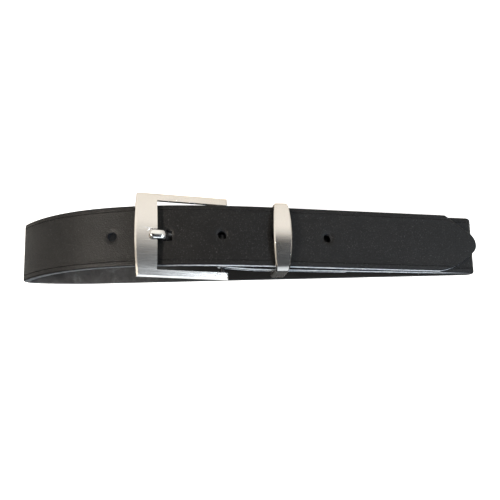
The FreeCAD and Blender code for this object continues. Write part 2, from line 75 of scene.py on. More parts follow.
class Run:
    """One straight or one bend of the strap, held by its grain face."""

    def __init__(self, start, heading, length, radius, angle):
        self.start, self.heading, self.radius = start, heading, radius
        self.length = abs(radius) * math.radians(angle) if radius else length
        self.end_heading = heading - (math.copysign(angle, radius) if radius else 0.0)

    def point(self, along, inward=0.0):
        inner = turned(self.heading - 90)
        if not self.radius:
            return self.start + turned(self.heading) * along + inner * inward
        swept = self.heading - 90 - math.degrees(along / self.radius)
        return self.start + inner * self.radius - turned(swept) * (self.radius - inward)

    def heading_at(self, along):
        return self.heading - (math.degrees(along / self.radius) if self.radius else 0.0)


def strap_runs():
    """The runs of PLAN, each starting where the one before it ends."""
    heading = 180 - RISE_ANGLE
    at = HINGE + turned(heading + 90) * WRAP
    runs = []
    for length, radius, angle in PLAN:
        runs.append(Run(at, heading, length, radius, angle))
        at, heading = runs[-1].point(runs[-1].length), runs[-1].end_heading
    return runs


RUNS = strap_runs()
TOTAL = sum(r.length for r in RUNS)
TURN = math.pi * WRAP                            # the wrap round the pin, along the grain face
HOLES = [TOTAL - HOLE_FIRST - i * HOLE_PITCH for i in range(HOLE_COUNT)]


def station(along):
    """The run at a distance from the end of the wrap, and how far along that run it is."""
    for run in RUNS:
        if along <= run.length:
            return run, along
        along -= run.length
    return RUNS[-1], RUNS[-1].length + along


def strap_at(u):
    """Grain point, unit vector towards the flesh side, thickness. u is 0 at the end of the wrap."""
    first = RUNS[0]
    if u >= 0:
        run, rest = station(u)
        inward = turned(run.heading_at(rest) - 90)
        return run.point(rest), inward, SKIVED + (THICK - SKIVED) * min(1.0, u / SKIVE_RUN)
    if u >= -TURN:
        out = turned(first.heading + 90 + math.degrees(-u / WRAP))
        return HINGE + out * WRAP, -out, SKIVED
    run, rest = station(-u - TURN)
    return run.point(rest, 2 * WRAP), turned(run.heading_at(rest) + 90), SKIVED


# the whole belt leans back a little, on the end of the lower arm and the lower edge of the back
ARM_Y = HINGE[1] + HEEL * math.sin(math.radians(BUCKLE_TILT)) + FRAME_THICK / 2
BACK_Y = RUNS[BACK].point(0)[1]
LEAN = -math.atan2(HALF_FRAME - MID - RISE, BACK_Y - ARM_Y)
SHIFT = (0.55, -22.565, -math.sin(LEAN) * BACK_Y)    # puts the middle of the box over the origin
STAND = Matrix.Scale(0.001, 4) @ Matrix.Translation(SHIFT) @ Matrix.Rotation(LEAN, 4, "X")


# ------------------------------------------------------------------ material helpers
def fill_ramp(ramp, stops):
    """Gives a colour ramp its stops, each a place and a colour."""
    while len(ramp.elements) < len(stops):
        ramp.elements.new(0.5)
    for element, (at, colour) in zip(ramp.elements, stops):
        element.position, element.color = at, (*colour, 1.0)


class Nodes:
    """One material round a Principled shader. Places and scales are in the object's metres."""

    def __init__(self, name):
        self.mat = bpy.data.materials.new(name)
        self.mat.use_nodes = True
        self.tree = self.mat.node_tree
        self.bsdf = next(n for n in self.tree.nodes if n.type == "BSDF_PRINCIPLED")
        self.where = self.add("ShaderNodeTexCoord").outputs["Object"]

    def add(self, kind, **settings):
        node = self.tree.nodes.new(kind)
        for key, value in settings.items():
            setattr(node, key, value)
        return node

    def link(self, a, b):
        self.tree.links.new(a, b)

    def value(self, socket, amount):
        """Links an output to a socket, or sets the socket to a constant."""
        if isinstance(amount, bpy.types.NodeSocket):
            self.link(amount, socket)
        else:
            socket.default_value = amount

    def along(self, axis):
        """Place along one axis of the object."""
        node = self.add("ShaderNodeSeparateXYZ")
        self.link(self.where, node.inputs[0])
        return node.outputs[axis]

    def stretched(self, stretch):
        node = self.add("ShaderNodeMapping")
        node.inputs["Scale"].default_value = stretch
        self.link(self.where, node.inputs["Vector"])
        return node.outputs["Vector"]

    def noise(self, scale, detail=3.0, rough=0.5, stretch=None, distortion=0.0):
        node = self.add("ShaderNodeTexNoise")
        node.inputs["Scale"].default_value = scale
        node.inputs["Detail"].default_value = detail
        node.inputs["Roughness"].default_value = rough
        node.inputs["Distortion"].default_value = distortion
        self.link(self.stretched(stretch) if stretch else self.where, node.inputs["Vector"])
        return node.outputs["Fac"]

    def voronoi(self, scale):
        """Distance to the nearest of scattered cell centres."""
        node = self.add("ShaderNodeTexVoronoi")
        node.inputs["Scale"].default_value = scale
        self.link(self.where, node.inputs["Vector"])
        return node.outputs["Distance"]

    def pebbles(self, scale, smooth):
        """The same with rounded borders."""
        node = self.add("ShaderNodeTexVoronoi", feature="SMOOTH_F1")
        node.inputs["Scale"].default_value = scale
        node.inputs["Smoothness"].default_value = smooth
        self.link(self.where, node.inputs["Vector"])
        return node.outputs["Distance"]

    def ramp(self, fac, *stops):
        node = self.add("ShaderNodeValToRGB")
        fill_ramp(node.color_ramp, stops)
        self.link(fac, node.inputs["Fac"])
        return node.outputs["Color"]

    def span(self, fac, low, high, at=(0.0, 1.0)):
        """Goes from low to high while fac goes over the range at."""
        node = self.add("ShaderNodeMapRange")
        node.inputs["From Min"].default_value, node.inputs["From Max"].default_value = at
        node.inputs["To Min"].default_value, node.inputs["To Max"].default_value = low, high
        self.link(fac, node.inputs["Value"])
        return node.outputs["Result"]

    def math(self, operation, a, b):
        node = self.add("ShaderNodeMath", operation=operation)
        self.value(node.inputs[0], a)
        self.value(node.inputs[1], b)
        return node.outputs[0]

    def mixed(self, a, share, b):
        """The share of a, with the rest from b."""
        return self.math("ADD", self.math("MULTIPLY", a, share), self.math("MULTIPLY", b, 1 - share))

    def blend(self, fac, a, b):
        """Colour a where fac is 0, colour b where it is 1."""
        node = self.add("ShaderNodeMix", data_type="RGBA")
        self.value(node.inputs["Factor"], fac)
        for socket, colour in ((node.inputs[6], a), (node.inputs[7], b)):
            self.value(socket, (*colour, 1.0) if isinstance(colour, tuple) else colour)
        return node.outputs[2]

    def bump(self, height, strength, distance):
        node = self.add("ShaderNodeBump")
        node.inputs["Strength"].default_value = strength
        node.inputs["Distance"].default_value = distance
        self.link(height, node.inputs["Height"])
        return node.outputs["Normal"]

    def set(self, **sockets):
        """Links or sets the shader's sockets, named with underscores, and returns the material."""
        for name, amount in sockets.items():
            self.value(self.bsdf.inputs[name.replace("_", " ")], amount)
        return self.mat


# ------------------------------------------------------------------ leather
def grain_leather():
    """Black grain side: fine pebbles, cloudy dye and roughness, a few light specks."""
    m = Nodes("grain_leather")
    pebble, fine = m.pebbles(1700, 0.6), m.noise(5200, 2.0)
    height = m.math("ADD", m.math("MULTIPLY", pebble, 0.7), m.math("MULTIPLY", fine, 0.35))
    cloud = m.noise(55, 4.0, 0.6)
    base = m.ramp(cloud, (0.3, (0.0035, 0.0034, 0.0034)), (0.75, (0.0060, 0.0058, 0.0057)))
    speck = m.span(m.noise(2300, 1.0), 0.0, 1.0, (0.63, 0.74))
    base = m.blend(m.math("MULTIPLY", speck, 0.5), base, (0.07, 0.07, 0.07))
    rough = m.span(m.mixed(cloud, 0.6, m.voronoi(900)), 0.35, 0.47)
    return m.set(Base_Color=base, Roughness=rough, Specular_IOR_Level=0.14,
                 Normal=m.bump(height, 0.8, 0.0002))


def raw_edge():
    """The cut edge: fibres in a light bluish grey that is partly a painted highlight, darkened by
    painted shade round the end bend and along the back.
    """
    m = Nodes("raw_edge")
    end_bend, back = (0.034, 0.052), (0.019, 0.024)
    fibre = m.noise(2600, 4.0, 0.7, stretch=(1, 1, 0.5))
    # the fibres' light bluish grey is partly a painted highlight of the light they catch
    base = m.ramp(m.mixed(fibre, 0.65, m.noise(420, 3.0, 0.6)), (0.38, (0.154, 0.165, 0.176)),
                  (0.50, (0.594, 0.638, 0.682)), (0.64, (0.9, 0.9, 0.9)))
    # painted shade: the edge goes dark round the end bend and along the back, where it lies in shade
    painted_shade_mask = m.math("MAXIMUM", m.span(m.along("X"), 0.0, 0.86, end_bend),
                  m.span(m.along("Y"), 0.0, 0.96, back))
    base = m.blend(painted_shade_mask, base, (0.0572, 0.0583, 0.0594))
    return m.set(Base_Color=base, Roughness=0.9, Specular_IOR_Level=0.15,
                 Normal=m.bump(fibre, 0.8, 0.0003))


def suede():
    """Flesh side: a patchy grey nap in the open end bend, with painted shade making it nearly black
    between the layers.
    """
    m = Nodes("flesh_suede")
    open_end = (0.030, 0.075)
    nap = m.noise(3400, 4.0, 0.75)
    patch = m.noise(150, 4.0, 0.65, distortion=0.4)
    base = m.ramp(patch, (0.32, (0.024, 0.024, 0.0245)), (0.56, (0.044, 0.044, 0.045)),
                  (0.78, (0.095, 0.098, 0.103)))
    base = m.blend(m.span(nap, 0.0, 0.5, (0.5, 0.8)), base, (0.07, 0.073, 0.078))
    # painted shade: the flesh side goes nearly black away from the open end bend, where it lies between
    # the layers
    base = m.blend(m.span(m.along("X"), 0.0, 1.0, open_end), (0.008, 0.008, 0.008), base)
    return m.set(Base_Color=base, Roughness=0.95, Specular_IOR_Level=0.12, Sheen_Weight=0.12,
                 Normal=m.bump(nap, 0.8, 0.00025))


def hole_wall():
    """Punched wall: dyed dark, with a few lighter fibres."""
    m = Nodes("hole_wall")
    fibre = m.noise(2400, 3.0, 0.6)
    base = m.ramp(fibre, (0.4, (0.006, 0.006, 0.007)), (0.72, (0.05, 0.055, 0.062)))
    return m.set(Base_Color=base, Roughness=0.9, Specular_IOR_Level=0.15,
                 Normal=m.bump(fibre, 0.6, 0.0002))


LEATHER = [grain_leather(), raw_edge(), suede(), hole_wall()]
GRAIN, EDGE, FLESH, WALL = range(4)              # which of them a face has


# ------------------------------------------------------------------ metal
def brushed(name, colour, stretch):
    """Brushed metal with lines along the axis of least stretch, with a painted reflection that makes it
    darker below its upper edge.
    """
    m = Nodes(name)
    deepens, ends = (0.018, 0.035), (0.0395, 0.0425)
    lines = m.noise(1.0, 2.0, 0.5, stretch=stretch)
    base = m.ramp(m.mixed(lines, 0.6, m.noise(90, 3.0)),
                  (0.35, tuple(c * 0.95 for c in colour)), (0.65, colour))
    # painted reflection: half as bright from mid height to just below the upper edge, standing in for
    # the dark surroundings it would reflect
    painted_reflection = m.math("MULTIPLY", m.span(m.along("Z"), 0.0, 1.0, deepens),
                  m.span(m.along("Z"), 1.0, 0.0, ends))
    base = m.blend(painted_reflection, base, tuple(c * 0.50 for c in colour))
    return m.set(Base_Color=base, Metallic=1.0, Roughness=m.span(lines, 0.21, 0.27, (0.3, 0.7)),
                 Normal=m.bump(lines, 0.08, 0.000006))


def polished(name, colour, rough, painted_shade=None):
    """Polished metal; the optional last argument paints shade: a dark colour and the range of X over
    which it gives way.
    """
    m = Nodes(name)
    smear = m.noise(160, 4.0, 0.6)
    scratch = m.noise(1.0, 2.0, 0.5, stretch=(300, 300, 5200))
    base = m.ramp(smear, (0.3, tuple(c * 0.95 for c in colour)), (0.7, colour))
    roughness = m.span(smear, *rough, (0.3, 0.7))
    # painted shade: darker and rougher towards low X
    if painted_shade:
        dark, ends = painted_shade
        base = m.blend(m.span(m.along("X"), 0.0, 1.0, ends), dark, base)
        roughness = m.math("ADD", roughness, m.span(m.along("X"), 0.3, 0.0, ends))
    return m.set(Base_Color=base, Metallic=1.0, Roughness=roughness,
                 Normal=m.bump(scratch, 0.15, 0.000008))


# ------------------------------------------------------------------ strap
BEVEL_GRAIN, BEVEL_BEND, BEVEL_FLESH = 0.75, 1.15, 0.3    # edge radii; the far bend is worn rounder
BEND_MID = sum(r.length for r in RUNS[:FAR_BEND]) + RUNS[FAR_BEND].length / 2
BEND_WORN = 9.0                                  # how far the worn stretch fades out
CREASE_DEPTH, CREASE_WIDTH = 0.26, 0.17
SHOULDER, SHOULDER_WIDTH = 0.07, 0.9             # leather pushed up beside each crease
CREASE_FADE = 1.2                                # creases run out this close to the outline
DENT, DENT_IN_USE = 0.55, 0.75                   # how deep the grain face sinks round the holes
DENT_FLAT, DENT_WIDTH, DENT_REACH = 1.9, 1.25, 7.0
WAVE = 0.05                                      # slow unevenness of the faces
TIP_LENGTH = 22.8
TIP_GAP = 0.05                                   # the last ring stops this far before the tip's end
TIP_ROUND, TIP_CALM = 0.6, 0.8                   # rounding of the tip's end; its edge is less ragged
RIM = [0.0, 0.06, 0.16, 0.32, 0.52, 0.80, 1.15]  # lines that follow the outline, from it
LOW_LINES = [1.6, 2.05, 2.25, 2.38, 2.48, 2.6, 2.72, 2.82, 2.95, 3.2, 3.8, 5.0, 7.0, 9.0, 11.0]
MIDDLE = [12.0 + 0.5 * i for i in range(17)]
LINES = LOW_LINES + MIDDLE + [WIDTH - z for z in reversed(LOW_LINES)]
EDGE_STEPS = 7                                   # faces across the cut edge


def arc_through(a, b, c, count):
    """Points of the arc from a through b to c."""
    (ax, ay), (bx, by), (cx, cy) = a, b, c
    twice = 2 * (ax * (by - cy) + bx * (cy - ay) + cx * (ay - by))
    sq = [x * x + y * y for x, y in (a, b, c)]
    ox = (sq[0] * (by - cy) + sq[1] * (cy - ay) + sq[2] * (ay - by)) / twice
    oy = (sq[0] * (cx - bx) + sq[1] * (ax - cx) + sq[2] * (bx - ax)) / twice
    r = math.hypot(ax - ox, ay - oy)
    first, last = math.atan2(ay - oy, ax - ox), math.atan2(cy - oy, cx - ox)
    if last - first > math.pi:
        last -= 2 * math.pi
    if first - last > math.pi:
        last += 2 * math.pi
    return [(ox + r * math.cos(t), oy + r * math.sin(t)) for t in np.linspace(first, last, count)]


def tip_sides():
    """Lower and upper side of the pointed tip: heights over distance from its end."""
    t, w, nose = TIP_LENGTH, MID, (0.05, 0.4)
    low = [(18.2, -w), (0.12 * t, -0.33 * w)]
    low += arc_through(low[-1], (0.033 * t, -0.165 * w), nose, 14)[1:]
    high = arc_through((t, w), (0.43 * t, 0.70 * w), (0.07 * t, 0.28 * w), 30)
    high += arc_through(high[-1], (0.012 * t, 0.155 * w), nose, 14)[1:]
    return [np.array(sorted(side)).T for side in (low, high)]


TIP_LOW, TIP_HIGH = tip_sides()


def heights(u):
    """Lowest and highest point of the strap at u, with the slope of its outline there."""
    back, step = TOTAL - u, 0.3
    if back > TIP_LENGTH:
        return 0.0, WIDTH, 0.0, 0.0
    low, high = (MID + np.interp(back, *side) for side in (TIP_LOW, TIP_HIGH))
    low_next, high_next = (MID + np.interp(back + step, *side) for side in (TIP_LOW, TIP_HIGH))
    return low, high, (low_next - low) / step, (high_next - high) / step


def around(middle, reach, step):
    """Evenly spaced places on both sides of one."""
    return list(np.arange(middle - reach, middle + reach + 0.1, step))


def stations():
    """Where the strap gets a ring of points: closer together where its shape changes."""
    nose, coarse, swing = 2.4, 1.4, 0.09         # swing is the most that a bend turns in one step
    places = [TOTAL - TIP_LENGTH + i * 0.6 for i in range(34)]
    places += [TOTAL - TIP_GAP - nose * (1 - math.cos(a)) for a in np.linspace(math.pi / 2, 0.0, 16)]
    for hole in HOLES:
        places += around(hole, 4.5, 0.5)
    for stud in STUDS:
        places += around(stud, 5.5, 1.0)
    places += [-a * WRAP for a in np.linspace(0, math.pi, 33)]
    places += list(np.arange(-TURN - FOLD_LENGTH, -TURN, 1.6))
    at = 0.0
    for run in RUNS:
        step = min(coarse, abs(run.radius) * swing) if run.radius else coarse
        places += list(np.linspace(at, at + run.length, max(2, math.ceil(run.length / step)))[:-1])
        at += run.length
    return thinned(sorted(u for u in places if u <= TOTAL - TIP_GAP))


def thinned(places, apart=0.22, apart_at_tip=0.008, tip=2.6):
    """Leaves out places too close to the one before."""
    kept = places[:1]
    for u in places[1:]:
        if u - kept[-1] > apart or (u > TOTAL - tip and u - kept[-1] > apart_at_tip):
            kept.append(u)
    return kept


def rounding(distance, radius):
    """How far a rounded edge falls back at a distance from it."""
    if distance >= radius:
        return 0.0
    return radius - math.sqrt(max(0.0, radius * radius - (radius - distance) ** 2))


def bell(distance, width):
    """1 in the middle, fading out on both sides."""
    return math.exp(-(distance / width) ** 2)


def grain_drop(u, z, rim):
    """Depth of the grain face below the flat strap: edge, crease, punch marks, unevenness."""
    drop = rounding(rim, BEVEL_GRAIN + (BEVEL_BEND - BEVEL_GRAIN) * bell(u - BEND_MID, BEND_WORN))
    fade = min(1.0, rim / CREASE_FADE)
    for line in (CREASE, WIDTH - CREASE):
        drop += CREASE_DEPTH * bell(z - line, CREASE_WIDTH) * fade
        drop -= SHOULDER * bell(z - line, SHOULDER_WIDTH) * fade
    for i, hole in enumerate(HOLES):
        away = math.hypot(u - hole, z - MID)
        if away < DENT_REACH:
            depth = DENT_IN_USE if i == HOLE_IN_USE else DENT
            drop += depth * bell(max(0.0, away - DENT_FLAT), DENT_WIDTH)
    return drop + WAVE * noise.noise(Vector((u * 0.045, z * 0.07, 3.1)))


def across_strap(u):
    """Heights of the lines along the strap at u, and how far each is from the outline."""
    low, high, low_slope, high_slope = heights(u)
    grow_low, grow_high = (min(3.0, math.hypot(1, slope)) for slope in (low_slope, high_slope))
    half = (high - low) / 2 * 0.98
    fit_low, fit_high = (min(1.0, half / (RIM[-1] * g)) for g in (grow_low, grow_high))
    zs = [low + r * grow_low * fit_low for r in RIM]
    rims = [r * fit_low for r in RIM]
    for z in LINES:
        z = min(max(z, zs[len(RIM) - 1]), high - RIM[-1] * grow_high * fit_high)
        zs.append(z)
        rims.append(min((z - low) / grow_low, (high - z) / grow_high))
    zs += [high - r * grow_high * fit_high for r in reversed(RIM)]
    rims += [r * fit_high for r in reversed(RIM)]
    return zs, rims


def ring_of(u):
    """Points round the strap at u: grain face up, upper edge, flesh face down, lower edge."""
    point, inward, thick = strap_at(u)
    zs, rims = across_strap(u)
    low, high = zs[0], zs[-1]
    calm = min(1.0, max(0.0, (TOTAL - u) / TIP_CALM))
    ring = []

    def put(depth, z):
        xy = point + inward * depth
        ring.append((xy[0], xy[1], z))

    def ragged(depth, side):
        v = Vector((u * 0.9, depth * 1.7, side * 9.0))
        return (0.16 * noise.noise(v) + 0.10 * noise.noise(v * 3.1)) * calm

    for z, rim in zip(zs, rims):
        put(grain_drop(u, z, rim) + rounding(TOTAL - u, TIP_ROUND) * 0.8, z)
    first, last = grain_drop(u, low, 0.0), grain_drop(u, high, 0.0)
    for i in range(1, EDGE_STEPS):
        depth = last + (thick - BEVEL_FLESH - last) * i / EDGE_STEPS
        put(depth, high + ragged(depth, 1) * min(1, i / 2))
    for z, rim in zip(reversed(zs), reversed(rims)):
        nap = 0.05 * noise.noise(Vector((u * 0.5, z * 0.5, 7.7))) if rim > 0.4 else 0.0
        put(thick - rounding(rim, BEVEL_FLESH) + nap * (1 if thick > 3 else 0.3), z)
    for i in range(1, EDGE_STEPS):
        depth = thick - BEVEL_FLESH - (thick - BEVEL_FLESH - first) * i / EDGE_STEPS
        put(depth, low - ragged(depth, 2) * min(1, (EDGE_STEPS - i) / 2))
    return ring


def new_object(name, verts, faces, marks, materials):
    """A mesh object from points in the belt's frame; marks say which material each face has."""
    mesh = bpy.data.meshes.new(name)
    mesh.from_pydata([STAND @ Vector(v) for v in verts], [], faces)
    obj = bpy.data.objects.new(name, mesh)
    bpy.context.scene.collection.objects.link(obj)
    for material in materials:
        mesh.materials.append(material)
    mesh.polygons.foreach_set("material_index", marks)
    return obj


def tidy_mesh(obj, merge=2e-6):
    """Joins doubled points, turns all faces outward and smooths across gentle angles."""
    bm = bmesh.new()
    bm.from_mesh(obj.data)
    bmesh.ops.remove_doubles(bm, verts=bm.verts, dist=merge)
    bmesh.ops.dissolve_degenerate(bm, edges=bm.edges, dist=merge)
    bmesh.ops.recalc_face_normals(bm, faces=bm.faces)
    bm.to_mesh(obj.data)
    bm.free()
    obj.data.polygons.foreach_set("use_smooth", [True] * len(obj.data.polygons))
    obj.data.set_sharp_from_angle(angle=math.radians(38))
    return obj


def build_strap():
    """The whole band as one closed mesh, a ring of points at each station."""
    rings = [ring_of(u) for u in stations()]
    count = len(rings[0])
    across = len(RIM) * 2 + len(LINES)
    verts = [p for ring in rings for p in ring]
    kind = [GRAIN] * (across - 1) + [EDGE] * EDGE_STEPS + [FLESH] * (across - 1) + [EDGE] * EDGE_STEPS
    faces, marks = [], []
    for r in range(len(rings) - 1):
        for k in range(count):
            a, b = r * count + k, r * count + (k + 1) % count
            faces.append((a, b, b + count, a + count))
            marks.append(kind[k])
    for base, order in ((0, -1), ((len(rings) - 1) * count, 1)):
        faces.append([base + k for k in range(count)][::order])
        marks.append(EDGE)
    return tidy_mesh(new_object("strap_leather", verts, faces, marks, LEATHER), merge=4e-6)


# ------------------------------------------------------------------ cuts in the strap
def between(sides):
    """Faces of a solid between two rings of points: its two ends, then its walls."""
    faces = [list(range(sides))[::-1], list(range(sides, 2 * sides))]
    return faces + [(i, (i + 1) % sides, sides + (i + 1) % sides, sides + i) for i in range(sides)]


def prism(name, outline, low, high):
    """Upright prism on a plan outline."""
    verts = [(x, y, z) for z in (low, high) for x, y in outline]
    return name, verts, between(len(outline))


def drill(u, radius, start, end, sides=40):
    """Cylinder across the strap at u, between two depths below its grain face."""
    point, inward, _ = strap_at(u)
    run, rest = station(u)
    along = turned(run.heading_at(rest))
    verts = []
    for depth in (start, end):
        for k in range(sides):
            a = 2 * math.pi * k / sides
            xy = point + inward * depth + along * (radius * math.cos(a))
            verts.append((xy[0], xy[1], MID + radius * math.sin(a)))
    return "drill", verts, between(sides)


def cut(obj, solids, operation="DIFFERENCE", materials=LEATHER, mark=WALL):
    """Takes solids out of obj, or adds them, and applies the result."""
    for name, verts, faces in solids:
        tool = tidy_mesh(new_object(name, verts, faces, [mark] * len(faces), materials))
        step = obj.modifiers.new(name, "BOOLEAN")
        step.operation, step.solver, step.object = operation, "EXACT", tool
        bpy.context.view_layer.update()
        graph = bpy.context.evaluated_depsgraph_get()
        done = bpy.data.meshes.new_from_object(obj.evaluated_get(graph))
        obj.modifiers.remove(step)
        old, obj.data = obj.data, done
        bpy.data.meshes.remove(old)
        bpy.data.objects.remove(tool)
    return tidy_mesh(obj)


def from_buckle(x, y, lift=0.0):
    """Plan point of a place on the buckle: x from the pin to the front bar, y inward."""
    c, s = turned(-BUCKLE_TILT)
    cl, sl = turned(-lift)
    x, y = cl * x - sl * y, sl * x + cl * y
    return HINGE[0] + c * x - s * y, HINGE[1] + s * x + c * y


# the prong's line in the plan, from the pin: its ring, shank, knee and flat end
PRONG_KNEE, PRONG_TOP, PRONG_END = (26.4, 5.5), (32.7, PRONG_Y), 39.6
PRONG_LINE = [(2.0, 1.05), (12.0, 1.4), PRONG_KNEE, PRONG_TOP, (PRONG_END, PRONG_Y)]
PRONG_BENDS = [14.0, 2.6, 2.4]


def prong_room():
    """Leather gives way along the prong's slope, for its rest and its lift."""
    lift, play, side_play = 4.6, 0.45, 0.4
    low, high = np.array(PRONG_KNEE), np.array(PRONG_TOP)
    slope = (high - low) / np.linalg.norm(high - low)
    across = np.array([-slope[1], slope[0]])
    room = PRONG_THICK / 2 + play
    corners = [from_buckle(*(low + across * room - slope * 2)),
               from_buckle(*(high + across * room)),
               from_buckle(*(high - across * room), lift),
               from_buckle(*(low - across * room - slope), lift)]
    half = PRONG_WIDTH / 2 + side_play
    return prism("prong_room", corners, MID + RISE - half, MID + RISE + half)


def prong_slot():
    """The slot that lets the prong through the wrap, open towards the buckle."""
    half, reach = 3.1, 4.2
    first = RUNS[0]
    mouth = HINGE[1] - WRAP - 0.2
    plan = [first.point(reach, -0.3), first.point(reach, 2 * WRAP + 0.6),
            (HINGE[0] + WRAP + 1, HINGE[1] + WRAP + 1), (HINGE[0] + WRAP + 1, mouth),
            (HINGE[0] - 1.2, mouth)]
    return prism("prong_slot", [tuple(p) for p in plan], MID + RISE - half, MID + RISE + half)


def stud_seats(u, barrel=1.72, cap=4.22):
    """The hole for a press stud's barrel and the flat recess for its cap."""
    return [drill(u, barrel, -0.8, 2 * WRAP + 0.6, 28), drill(u, cap, THICK - 1.0, THICK + 0.3, 36)]


strap = build_strap()
cuts = [drill(u, HOLE_R, -1.2, THICK + 0.35) for u in HOLES] + [prong_room(), prong_slot()]
for u in STUDS:
    cuts += stud_seats(u)
cut(strap, cuts)
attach(strap, "belt")
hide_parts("strap")


# ------------------------------------------------------------------ loose fibres of the cut edges
def edge_fibres(count=2600, seed=11):
    """Short tapering fibres rooted in the raw upper and lower edges of the strap."""
    draw = random.Random(seed)
    verts, faces = [], []
    for _ in range(count):
        u = draw.uniform(6.0, TOTAL - TIP_LENGTH)
        side = 1 if draw.random() < 0.72 else -1
        point, inward, thick = strap_at(u)
        run, rest = station(u)
        along = turned(run.heading_at(rest))
        depth = draw.uniform(0.45, thick - 0.25)
        root = np.array([*(point + inward * depth), MID + side * (MID - 0.12)])
        length = draw.uniform(0.25, 0.75) * (1.5 if draw.random() < 0.06 else 1.0)
        lean, sway = draw.gauss(0, 0.9), draw.gauss(0, 0.35)
        tip_at = np.array([*(along * lean + inward * sway), side * draw.uniform(0.35, 0.9)])
        tip_at = root + tip_at / np.linalg.norm(tip_at) * length
        thin = draw.uniform(0.035, 0.06)
        first = len(verts)
        for k in range(3):
            a = 2 * math.pi * k / 3
            foot = root + thin * np.array([*(along * math.cos(a) + inward * math.sin(a)), 0.0])
            verts.append(tuple(foot))
        verts.append(tuple(tip_at))
        faces += [(first, first + 1, first + 3), (first + 1, first + 2, first + 3),
                  (first + 2, first, first + 3), (first, first + 2, first + 1)]
    return new_object("edge_fibres", verts, faces, [0] * len(faces), [LEATHER[EDGE]])


fibres = edge_fibres()
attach(fibres, "belt")


# ------------------------------------------------------------------ metal, kept from the CAD
def soften_edges(node, gloss):
    """Rounds the edges of a metal node with small polished bevels."""
    custom = node.data.attributes.get("custom_normal")
    if custom:
        node.data.attributes.remove(custom)
    node.data.polygons.foreach_set("use_smooth", [True] * len(node.data.polygons))
    node.data.materials.append(gloss)
    weld = node.modifiers.new("weld", "WELD")
    weld.merge_threshold = 0.000004
    soften = node.modifiers.new("soften", "BEVEL")
    soften.width, soften.segments, soften.material = 0.00038, 2, 1
    soften.limit_method, soften.angle_limit = "ANGLE", math.radians(28)
    soften.use_clamp_overlap = True
    even = node.modifiers.new("even", "WEIGHTED_NORMAL")
    even.mode, even.weight = "FACE_AREA", 50


NICKEL = (0.70, 0.665, 0.62)
UPRIGHT_LINES, PIN_LINES = (90, 90, 3200), (5000, 5000, 120)
finishes = {
    "buckle_frame": brushed("brushed_nickel_frame", NICKEL, UPRIGHT_LINES),
    "keeper": brushed("brushed_nickel_keeper", NICKEL, UPRIGHT_LINES),
    # the pin's near black colour is painted shade, where it lies hidden between the arms behind the
    # strap
    "hinge_bar": brushed("steel_pin", (0.076, 0.076, 0.0798), PIN_LINES)}
# the press studs' near black is painted shade, so they show no glint between the layers
stud_metal = polished("stud_black", (0.035, 0.035, 0.037), (0.3, 0.45))
gloss = polished("polished_nickel", (0.74, 0.73, 0.71), (0.07, 0.16))
# the prong's shank, behind the leather, gets painted shade below about 40 mm of X
prong_metal = polished("polished_prong", (0.76, 0.75, 0.73), (0.08, 0.16),
                       ((0.05, 0.05, 0.052), (0.040, 0.047)))
for name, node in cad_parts.items():
    if name in ("strap", "prong"):
        continue
    node.data.materials.clear()
    node.data.materials.append(finishes.get(name, stud_metal))
    if name in ("buckle_frame", "keeper"):
        soften_edges(node, gloss)


# ------------------------------------------------------------------ prong
def rounded_path(points, radii, step=0.35):
    """Points along straight runs whose corners are rounded."""
    pts = [np.array(p, float) for p in points]
    line = [pts[0]]
    for before, corner, after, radius in zip(pts, pts[1:], pts[2:], radii):
        u, v = (before - corner), (after - corner)
        u, v = u / np.linalg.norm(u), v / np.linalg.norm(v)
        half = math.acos(float(np.clip(u @ v, -1, 1))) / 2
        p, q = corner + u * radius / math.tan(half), corner + v * radius / math.tan(half)
        middle = corner + (u + v) / np.linalg.norm(u + v) * radius * (1 / math.sin(half) - 1)
        line += [np.array(a) for a in arc_through(tuple(p), tuple(middle), tuple(q), 9)]
    line.append(pts[-1])
    dense = []
    for a, b in zip(line, line[1:]):
        count = max(1, int(np.linalg.norm(b - a) / step))
        dense += [a + (b - a) * k / count for k in range(count)]
    return dense + [line[-1]]


def superellipse(share, half_height, half_thick, blunt=2.7):
    """Height and depth of a point of the bar's rounded section."""
    c, s = math.cos(2 * math.pi * share), math.sin(2 * math.pi * share)
    return (half_height * math.copysign(abs(c) ** (2 / blunt), c),
            half_thick * math.copysign(abs(s) ** (2 / blunt), s))


def prong_shank(sides=32, nose=2.2):
    """A drawn bar with rounded sides and a round nose."""
    path = rounded_path(PRONG_LINE, PRONG_BENDS)
    path = path[:-1] + [np.array([PRONG_END - nose * (1 - math.sin(a)), PRONG_Y])
                        for a in np.linspace(0.05, math.pi / 2 - 0.03, 12)
                        if PRONG_END - nose * (1 - math.sin(a)) > path[-2][0] + 0.02]
    path = [p for k, p in enumerate(path) if k == 0 or np.linalg.norm(p - path[k - 1]) > 0.004]
    verts = []
    for k, p in enumerate(path):
        a, b = path[max(0, k - 1)], path[min(len(path) - 1, k + 1)]
        t = (b - a) / np.linalg.norm(b - a)
        across = np.array([-t[1], t[0]])
        left = max(0.0, min(1.0, (PRONG_END - p[0]) / nose))
        round_off = math.sqrt(max(0.0, 1 - (1 - left) ** 2))
        wide, thick = PRONG_WIDTH / 2 * round_off, PRONG_THICK / 2 * (0.35 + 0.65 * round_off)
        for j in range(sides):
            z, off = superellipse(j / sides, wide, thick)
            x, y = from_buckle(*(p + across * off))
            verts.append((x, y, MID + RISE + z))
    faces = [(r * sides + k, r * sides + (k + 1) % sides, (r + 1) * sides + (k + 1) % sides,
              (r + 1) * sides + k) for r in range(len(path) - 1) for k in range(sides)]
    faces += [list(range(sides))[::-1], [len(verts) - sides + k for k in range(sides)]]
    return verts, faces


